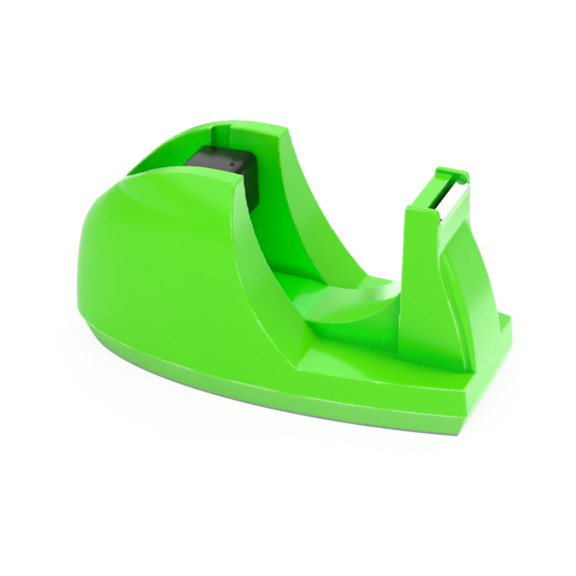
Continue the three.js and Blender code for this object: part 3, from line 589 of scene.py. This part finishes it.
class Nodes:
    """A node tree that grows by one call a node."""

    def __init__(self, tree):
        self.tree = tree

    def node(self, kind, settings=None, inputs=None, output=0):
        """Adds a node with its settings and inputs, and gives its output."""
        made = self.tree.nodes.new(kind)
        for name, value in (settings or {}).items():
            setattr(made, name, value)
        for name, value in (inputs or {}).items():
            if isinstance(value, Term):
                self.tree.links.new(value.socket, made.inputs[name])
            else:
                made.inputs[name].default_value = value
        return Term(self, made.outputs[output])

    def blend(self, share, first, second):
        """A colour between two."""
        inputs = {0: share, 6: first, 7: second}
        return self.node("ShaderNodeMix", {"data_type": "RGBA"}, inputs, 2)

    def ramp(self, value, low, high):
        """A soft step from 0 at one value to 1 at another."""
        ends = {"Value": value, "From Min": low, "From Max": high}
        return self.node("ShaderNodeMapRange", {"interpolation_type": "SMOOTHSTEP"}, ends)


class Finish(Nodes):
    """A material whose Principled shader is fed by nodes."""

    def __init__(self, name, **constants):
        self.material = bpy.data.materials.new(name)
        self.material.use_nodes = True
        super().__init__(self.material.node_tree)
        self.shader = self.tree.nodes["Principled BSDF"]
        for socket, value in constants.items():
            self.shader.inputs[socket.replace("_", " ")].default_value = value
        self.place = self.node("ShaderNodeTexCoord", output="Object")

    def feed(self, socket, term):
        """Lets a node drive one of the shader's sockets."""
        self.tree.links.new(term.socket, self.shader.inputs[socket])

    def noise(self, scale, detail=2.0, stretch=(1, 1, 1)):
        """Even noise from 0 to 1 in the piece's own space."""
        vector = self.node("ShaderNodeMapping", {}, {"Vector": self.place, "Scale": stretch})
        inputs = {"Vector": vector, "Scale": scale, "Detail": detail}
        return self.node("ShaderNodeTexNoise", {}, inputs, "Fac")

    def openness(self, reach, inside=False):
        """Share of the sky over a surface that its own piece leaves free within a reach."""
        settings = {"samples": 8, "only_local": True, "inside": inside}
        return self.node("ShaderNodeAmbientOcclusion", settings, {"Distance": reach}, "AO")

    def bump(self, height, distance, strength=1.0):
        """Roughens the surface by a height from 0 to 1 times a distance in metres."""
        inputs = {"Height": height, "Distance": distance, "Strength": strength}
        self.feed("Normal", self.node("ShaderNodeBump", {}, inputs, "Normal"))

    def dress(self, made):
        """Makes this the only finish of a piece."""
        made.data.materials.clear()
        made.data.materials.append(self.material)


def linear(red, green, blue):
    """A colour of the sRGB scale, 0 to 255, as the shader's linear numbers."""
    def one(value):
        value /= 255
        return value / 12.92 if value <= 0.04045 else ((value + 0.055) / 1.055) ** 2.4
    return (one(red), one(green), one(blue), 1.0)


# Its convex edges get a painted highlight, brighter and yellower, for the light that the plastic
# lets through and that its rounded edges catch. In places the edges are painted pale, partly as
# wear and partly as painted highlight. Reaches are in metres.
lime = Finish("lime_plastic", IOR=1.42)
skin_green = lime.blend(lime.noise(30, 2), linear(84, 220, 0), linear(92, 225, 0))
# painted highlight: convex edges, where the inside AO finds free space, turn brighter and yellower
painted_edge_highlight = lime.ramp(1 - lime.openness(0.0009, inside=True), 0.12, 0.6)
skin_green = lime.blend(painted_edge_highlight, skin_green, linear(128, 246, 40))
# pale patches along the edges: partly wear, partly painted highlight
edge_wear_and_highlight = lime.ramp(lime.noise(110, 3), 0.4, 0.58) * lime.ramp(painted_edge_highlight, 0.03, 0.35)
skin_green = lime.blend(edge_wear_and_highlight * 0.8, skin_green, linear(206, 244, 184))

# Where its walls only see each other, the light bounced between them is painted into the base
# colour as a pure deep green: painted shade in the corners, and painted light inside the well.
# Faces that look up or ahead count as more open, since they see more of the room.
facing = lime.node("ShaderNodeTexCoord", output="Normal")
forward, upward = (
    lime.node("ShaderNodeSeparateXYZ", {}, {"Vector": facing}, axis).at_least(0.0)
    for axis in "XZ")
wide_open = lime.openness(0.05)
wide_shelter = wide_open + upward * 0.2 + forward * 0.15
corner_shelter = (lime.openness(0.006) + upward * 0.5).at_most(1.0)
# painted shade: sheltered corners turn a darker pure green
painted_corner_shade = lime.ramp(wide_shelter * corner_shelter, 0.86, 0.7)
# painted light: the well's walls turn a brighter pure green
painted_well_wall_light = lime.ramp(wide_shelter, 0.66, 0.44) * lime.ramp(corner_shelter, 0.7, 0.98)
along = lime.node("ShaderNodeSeparateXYZ", {}, {"Vector": lime.place}, "X")
behind_saddle = lime.ramp(along, SADDLE_X * MM, (SADDLE_X - 2) * MM)
# painted light: the well's floor behind the saddle turns a brighter pure green
painted_well_floor_light = behind_saddle * lime.ramp(upward, 0.7, 0.9) * lime.ramp(wide_open, 0.85, 0.7)
shaded = lime.blend(painted_corner_shade, skin_green, linear(0, 196, 0))
lime.feed("Base Color", lime.blend(painted_well_wall_light + painted_well_floor_light, shaded, linear(0, 254, 0)))
lime.feed("Roughness", lime.noise(240, 3) * 0.07 + 0.11)
lime.bump(lime.noise(420, 2), 0.00002)
lime.dress(body)

# ---- Base plate ----
# A tray of slightly duller green ABS that closes the body from below. It stands a little proud
# of the body's sides, and its edge slopes in to the foot.

plate_low, plate_high = (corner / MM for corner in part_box("base_plate"))
PLATE_FOOT_Z = plate_low.z
PLATE_TUCK = (1.4, 3.7)               # foot behind the plate's own top edge, front and rear
PLATE_SKIN = 1.2
PLATE_FLOOR_SKIN = 0.5
LIP_INSET = 1.6                       # the lip that fits into the body stands this far in
LIP_OVERLAP = 0.4


def plate_ring(foot, inset=0.0):
    """Outline of the plate at its top edge or at its foot."""
    front = plate_high.x - (PLATE_TUCK[0] if foot else 0) - inset
    rear = plate_low.x + (PLATE_TUCK[1] if foot else 0) + inset
    corner = max(FRONT_CORNER - inset, LEAST_CORNER)
    half = plan_half(front, rear, plate_high.y - inset, REAR_FULLNESS[0], corner)
    return closed_ring(rear, half)


def rounded(form, width, segments, angle=30):
    """Rounds the hard edges of a form."""
    edges = [edge for edge in form.edges
             if len(edge.link_faces) == 2 and edge.calc_face_angle(0) > math.radians(angle)]
    bmesh.ops.bevel(form, geom=edges, offset=width, segments=segments,
                    profile=0.5, affect="EDGES", material=-1)
    return form


plate = mould("plate", rounded(
    loft([(PLATE_FOOT_Z, plate_ring(True)), (PARTING_Z, plate_ring(False))]),
    width=0.35, segments=3, angle=40))
inside = mould("inside", loft([
    (PLATE_FOOT_Z + PLATE_FLOOR_SKIN, plate_ring(True, PLATE_SKIN)),
    (PARTING_Z + 2 * PAST, plate_ring(False, PLATE_SKIN))]))
join(inside, "DIFFERENCE", packed("base_plate"))
join(plate, "DIFFERENCE", inside)
lip = packed("base_plate")
above = mould("above", block((-FAR, FAR), (-FAR, FAR), (PARTING_Z - LIP_OVERLAP, FAR)))
lip_ring = plate_ring(False, LIP_INSET)
within = mould("within", loft(
    [(PARTING_Z - 2 * PAST, lip_ring), (PARTING_Z + 6 * PAST, lip_ring)]))
join(lip, "INTERSECT", above, within)
join(plate, "UNION", lip)
finish_piece(plate, "base_plate_moulding", "base", "base_plate")

plate_green = Finish("plate_plastic")
plate_green.feed("Base Color", plate_green.blend(
    plate_green.noise(40, 2), linear(106, 206, 72), linear(118, 212, 84)))
plate_green.feed("Roughness", plate_green.noise(200, 3) * 0.1 + 0.24)
plate_green.bump(plate_green.noise(700, 2), 0.00002)
plate_green.dress(plate)

# ---- Non-slip pad ----
# A 1 mm sheet of grey closed-cell foam rubber, die cut and glued under the plate.

PAD_INSET = 0.5
pad_ring = plate_ring(True, PAD_INSET)
pad = mould("pad", rounded(
    loft([(0, pad_ring), (PLATE_FOOT_Z, pad_ring)]), width=0.2, segments=2, angle=40))
finish_piece(pad, "foam_pad", "base", "non_slip_pad")

foam = Finish("grey_foam", Specular_IOR_Level=0.3)
foam.feed("Base Color", foam.blend(
    foam.noise(300, 3), linear(142, 156, 148), linear(164, 176, 168)))
foam.feed("Roughness", foam.noise(500, 2) * 0.1 + 0.84)
cells = {"Vector": foam.place, "Scale": 2600.0}
foam.bump(foam.node("ShaderNodeTexVoronoi", {}, cells, "Distance"), 0.0002, 0.5)
foam.dress(pad)

# ---- Ballast and screws ----
# A rough iron block that gives the base its weight, and four zinc plated pan-head screws.
# All are inside the base or under it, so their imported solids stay.

iron = Finish("cast_iron", Metallic=0.8)
iron.feed("Base Color", iron.blend(
    iron.noise(300, 4), linear(70, 72, 74), linear(104, 106, 106)))
iron.feed("Roughness", iron.noise(500, 3) * 0.25 + 0.55)
iron.bump(iron.noise(900, 4), 0.0003, 0.6)

zinc = Finish("zinc_plating", Metallic=1.0)
zinc.feed("Base Color", zinc.blend(
    zinc.noise(400, 3), linear(188, 194, 198), linear(206, 208, 206)))
zinc.feed("Roughness", zinc.noise(900, 3) * 0.15 + 0.25)
zinc.bump(zinc.noise(1500, 2), 0.00003, 0.5)


def coat(node, finish):
    """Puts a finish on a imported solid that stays."""
    for slot in node.material_slots:
        slot.material = finish.material


coat(frame["nodes"]["ballast_block"], iron)
for name, node in frame["nodes"].items():
    if name.startswith("base_screw"):
        coat(node, zinc)

# ---- Cutter blade ----
# Bright spring steel strip, folded over the front wall of the slot. Its toothed edge hangs
# just over the face of the head. The stakes that hold its leg, and their holes, are left to the
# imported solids.

TOOTH_PITCH = 1.2
TOOTH_DEPTH = 0.4
TOOTH_GRIND = 0.2                     # the ground face of the teeth leans back this far
BLADE_OVERHANG = 0.5
BLADE_LEG = 6.0                       # how far the leg reaches down into the slot
TANG_HALF = TOWER_HALF - CHEEK - FIT  # half width of the blade between the cheeks


def flange_form():
    """The sloping flange, cut into teeth."""
    def along(x):
        return (x - BLADE_REAR_X) / math.cos(BLADE_SLOPE)

    lip = along(CHEEK_TIP_X + FIT + BLADE_THICKNESS * math.sin(BLADE_SLOPE))
    tips = along(HEAD_FRONT_X + BLADE_OVERHANG)
    roots = tips - TOOTH_DEPTH
    teeth = int(2 * TOWER_HALF / TOOTH_PITCH)
    first = -teeth * TOOTH_PITCH / 2
    points = [(0, -TANG_HALF), (lip, -TANG_HALF), (lip, -TOWER_HALF), (roots, -TOWER_HALF)]
    for tooth in range(teeth):
        points.append((tips, first + (tooth + 0.5) * TOOTH_PITCH))
        if tooth + 1 < teeth:
            points.append((roots, first + (tooth + 1) * TOOTH_PITCH))
    points += [(roots, TOWER_HALF), (lip, TOWER_HALF), (lip, TANG_HALF), (0, TANG_HALF)]
    form = prism([(x, y, 0) for x, y in points], (0, 0, -BLADE_THICKNESS))
    ground = [vert for vert in form.verts
              if vert.co.z > -NEAR and vert.co.x > lip + 5 * NEAR]
    bmesh.ops.translate(form, verts=ground, vec=(-TOOTH_GRIND, 0, 0))
    bmesh.ops.rotate(form, verts=form.verts, matrix=Matrix.Rotation(BLADE_SLOPE, 3, "Y"))
    bmesh.ops.translate(form, verts=form.verts, vec=(BLADE_REAR_X, 0, STRIP_Z))
    return form


blade = mould("blade", flange_form())
leg = mould("leg", block(
    (BLADE_REAR_X, BLADE_REAR_X + BLADE_THICKNESS), (-TANG_HALF, TANG_HALF),
    (STRIP_Z - BLADE_LEG, STRIP_Z - BLADE_THICKNESS / 2)))
join(blade, "UNION", leg)
finish_piece(blade, "steel_blade", "base", "cutter_blade")
blunting = blade.modifiers.new("edge", "BEVEL")
blunting.width = 0.06 * MM
blunting.segments = 2
blunting.limit_method = "ANGLE"

steel = Finish("blade_steel", Metallic=1.0)
steel.feed("Base Color", steel.blend(
    steel.noise(200, 2), linear(224, 226, 224), linear(238, 238, 236)))
steel.feed("Roughness", steel.noise(600, 3, (8, 0.4, 1)) * 0.12 + 0.1)
steel.dress(blade)

# ---- Hub and axle ----
# A rounded-square drum of glossy black polystyrene with a pressed-on cap, which grips the tape
# core by its corners. It runs loose on a plain steel pin.

HUB_SIDE = 19.4
HUB_CORNER = 3.0
HUB_WALL = 1.6
HUB_TURN = math.radians(-2.5)         # how the drum is turned at rest
TUBE_WALL = 1.4                       # round the bore
TUBE_SETBACK = 2.0                    # from the drum's open end
SPIGOT_CORNERS = (1.1, 0.6)           # outside and inside
CAP_Y = [corner.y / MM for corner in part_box("hub_end_cap")]
DRUM_Y = [corner.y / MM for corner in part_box("hub_drum")]


def square_bar(side, corner, y, sides=12):
    """A bar of rounded square section about the hub's axis."""
    half = side / 2 - corner
    centres = ((half, half), (-half, half), (-half, -half), (half, -half))
    outline = []
    for turn, (cx, cz) in enumerate(centres):
        outline += arc(cx, cz, corner, turn * math.pi / 2, (turn + 1) * math.pi / 2, sides)
    return slab(outline, *y)


drum_end = DRUM_Y[1] - HUB_WALL
drum = mould("drum", rounded(
    square_bar(HUB_SIDE, HUB_CORNER, DRUM_Y), width=0.45, segments=4))
inner_side = HUB_SIDE - 2 * HUB_WALL
drum_hollow = mould("inside", square_bar(
    inner_side, HUB_CORNER - HUB_WALL, (DRUM_Y[0] - 2 * PAST, drum_end)))
join(drum, "DIFFERENCE", drum_hollow)
tube = mould("tube", rod(
    SEAT_RADIUS + TUBE_WALL, (DRUM_Y[0] + TUBE_SETBACK, drum_end + HUB_WALL / 2), 0, 0))
join(drum, "UNION", tube)
join(drum, "DIFFERENCE", mould("bore", rod(SEAT_RADIUS, (-FAR, FAR), 0, 0)))

# A small raised ring marks where the plastic entered the drum's mould.
GATE_X, GATE_Y = 6.0, 1.3
GATE_RADIUS, GATE_PROUD = 0.95, 0.15
DIMPLE_RADIUS, DIMPLE_DEPTH = 0.55, 0.2


def gate_disc(radius, low, high):
    """A short upright disc at the gate mark."""
    form = bmesh.new()
    bmesh.ops.create_cone(
        form, cap_ends=True, segments=32, radius1=radius, radius2=radius, depth=high - low)
    bmesh.ops.translate(form, verts=form.verts, vec=(GATE_X, GATE_Y, (low + high) / 2))
    return form


drum_top = HUB_SIDE / 2
ring = gate_disc(GATE_RADIUS, drum_top - PAST / 2, drum_top + GATE_PROUD)
join(drum, "UNION", mould("ring", rounded(ring, width=0.08, segments=2)))
dimple = gate_disc(DIMPLE_RADIUS, drum_top - DIMPLE_DEPTH, drum_top + PAST)
join(drum, "DIFFERENCE", mould("dimple", dimple))

cap_face = DRUM_Y[0] - FIT
cap = mould("cap", rounded(
    square_bar(HUB_SIDE, HUB_CORNER, (CAP_Y[0], cap_face)), width=0.35, segments=3))
spigot_side = inner_side - 2 * FIT
spigot = mould("spigot", square_bar(
    spigot_side, SPIGOT_CORNERS[0], (cap_face - PAST / 2, CAP_Y[1])))
spigot_hollow = mould("open", square_bar(
    spigot_side - 2 * HUB_WALL, SPIGOT_CORNERS[1], (cap_face, CAP_Y[1] + 2 * PAST)))
join(spigot, "DIFFERENCE", spigot_hollow)
join(cap, "UNION", spigot)
join(cap, "DIFFERENCE", mould("bore", rod(SEAT_RADIUS, (-FAR, FAR), 0, 0)))

black = Finish("black_plastic", IOR=1.36)
black.feed("Base Color", black.blend(black.noise(120, 2), linear(7, 8, 7), linear(15, 15, 16)))
black.feed("Roughness", black.noise(300, 3) * 0.1 + 0.16)
black.bump(black.noise(250, 2), 0.00002)

onto_axle = Matrix.Translation((HUB_X, HUB_Y, HUB_Z)) @ Matrix.Rotation(HUB_TURN, 4, "Y")
for made, name, node in ((drum, "black_drum", "hub_drum"), (cap, "black_cap", "hub_end_cap")):
    made.data.transform(onto_axle)
    finish_piece(made, name, "hub", node)
    black.dress(made)

pin = mould("pin", rounded(
    rod(AXLE_RADIUS, AXLE_ENDS, HUB_X, HUB_Z, sides=64), width=0.4, segments=3))
finish_piece(pin, "steel_pin", "axle", "hub_axle")
zinc.dress(pin)

# ---- Table, light and camera ----
# The dispenser stands on a white sweep under large soft lamps, with white all round it. Sizes
# and places are in metres from here on.

TABLE_SIZE = 6.0
TABLE_GREY, TABLE_GREY_SEEN = 0.8, 0.15   # to the light, and to the camera besides its glow
TABLE_GLOW = 0.85                     # the rest of the white near the part comes from the lamps
POOL_GLOW = 1.1
POOL_CORE = 0.45                      # share of a pool's reach that has its full glow
table_form = bmesh.new()
bmesh.ops.create_grid(table_form, x_segments=1, y_segments=1, size=TABLE_SIZE)
table = mould("table", table_form)
white = Finish("white_sweep", Roughness=0.9, Specular_IOR_Level=0.1, Emission_Color=(1, 1, 1, 1))


def ray_kinds(nodes):
    """1 for the camera's own rays, and 1 for the rays that make mirror images."""
    camera, glossy, through = (
        nodes.node("ShaderNodeLightPath", output=f"Is {kind} Ray")
        for kind in ("Camera", "Glossy", "Transmission"))
    return camera, glossy.at_least(through)


camera_ray, mirror_ray = ray_kinds(white)
white.feed("Base Color", white.blend(
    camera_ray, (*[TABLE_GREY] * 3, 1), (*[TABLE_GREY_SEEN] * 3, 1)))


def distance_from(x, y):
    """Distance of the table's points from one of them."""
    offset = white.node(
        "ShaderNodeVectorMath", {"operation": "SUBTRACT"}, {0: white.place, 1: (x, y, 0)})
    return white.node("ShaderNodeVectorMath", {"operation": "LENGTH"}, {0: offset}, "Value")


def bright_pool(x, y, reach):
    """A round place of the table that shows bright in mirror images."""
    return white.ramp(distance_from(x, y), reach, reach * POOL_CORE)


# In mirror images the table is bright in two places behind the part, and dark elsewhere.
pools = bright_pool(0.06, 0.05, 0.11) + bright_pool(-0.06, 0.14, 0.09)
far_glow = white.ramp(distance_from(0, 0), 0.25, 1.5) * (1 - TABLE_GLOW) + TABLE_GLOW
white.feed("Emission Strength", camera_ray * far_glow + mirror_ray * (pools * POOL_GLOW))
white.dress(table)

ROOM_LIGHT = 0.4
ROOM_MIRRORED = 0.4
LAMP_BEHIND = (-0.21, 0.80, 0.56)     # direction of the back lamp
LAMP_MIRRORED = 1.3
LAMP_EDGE = (0.8, 0.94)               # cosines between which its mirror image fades in
world = bpy.data.worlds.new("studio")
bpy.context.scene.world = world
world.use_nodes = True
room = Nodes(world.node_tree)
camera_ray, mirror_ray = ray_kinds(room)
backdrop = room.tree.nodes["Background"]
backdrop.inputs["Color"].default_value = (1, 1, 1, 1)
# Mirror images get the big soft lamp behind the part from here, where it has no hard edges.
toward_lamp = room.node("ShaderNodeVectorMath", {"operation": "DOT_PRODUCT"},
                        {0: room.node("ShaderNodeTexCoord"), 1: LAMP_BEHIND}, "Value")
lamp_image = room.ramp(toward_lamp, *LAMP_EDGE)
mirrored = lamp_image * LAMP_MIRRORED + (ROOM_MIRRORED - ROOM_LIGHT)
room_level = camera_ray * (1 - ROOM_LIGHT) + mirror_ray * mirrored + ROOM_LIGHT
room.tree.links.new(room_level.socket, backdrop.inputs["Strength"])

LAMPS_AIM = Vector((0, 0, 0.03))


def softbox(name, place, size, power):
    """A square lamp that looks at the dispenser."""
    lamp = bpy.data.lights.new(name, "AREA")
    lamp.size = size
    lamp.energy = power
    made = bpy.data.objects.new(name, lamp)
    made.location = place
    made.rotation_euler = (LAMPS_AIM - Vector(place)).to_track_quat("-Z", "Y").to_euler()
    bpy.context.scene.collection.objects.link(made)
    return made


# The back lamp's own square shape is kept out of mirror images.
softbox("key", (-0.45, -1.3, 1.1), 2.0, 20)
softbox("back", (-0.3, 1.15, 0.8), 1.35, 9.6).visible_glossy = False
softbox("top", (0.15, 0.1, 1.6), 1.0, 3.5)
softbox("front", (1.3, -0.1, 0.7), 1.2, 8)

CAMERA_AIM = Vector((0.00269, 0, 0.02401))
CAMERA_ROLL = math.radians(-0.149)
camera = bpy.data.cameras.new("camera")
camera.lens = 141.44
camera.sensor_width = 36
camera.clip_start, camera.clip_end = 0.01, 20
eye = bpy.data.objects.new("camera", camera)
eye.location = (0.2307, -0.5496, 0.3675)
level = (CAMERA_AIM - eye.location).to_track_quat("-Z", "Y").to_matrix()
eye.rotation_euler = (level @ Matrix.Rotation(CAMERA_ROLL, 3, "Z")).to_euler()
bpy.context.scene.collection.objects.link(eye)
bpy.context.scene.camera = eye
bpy.context.scene.view_settings.view_transform = "Standard"
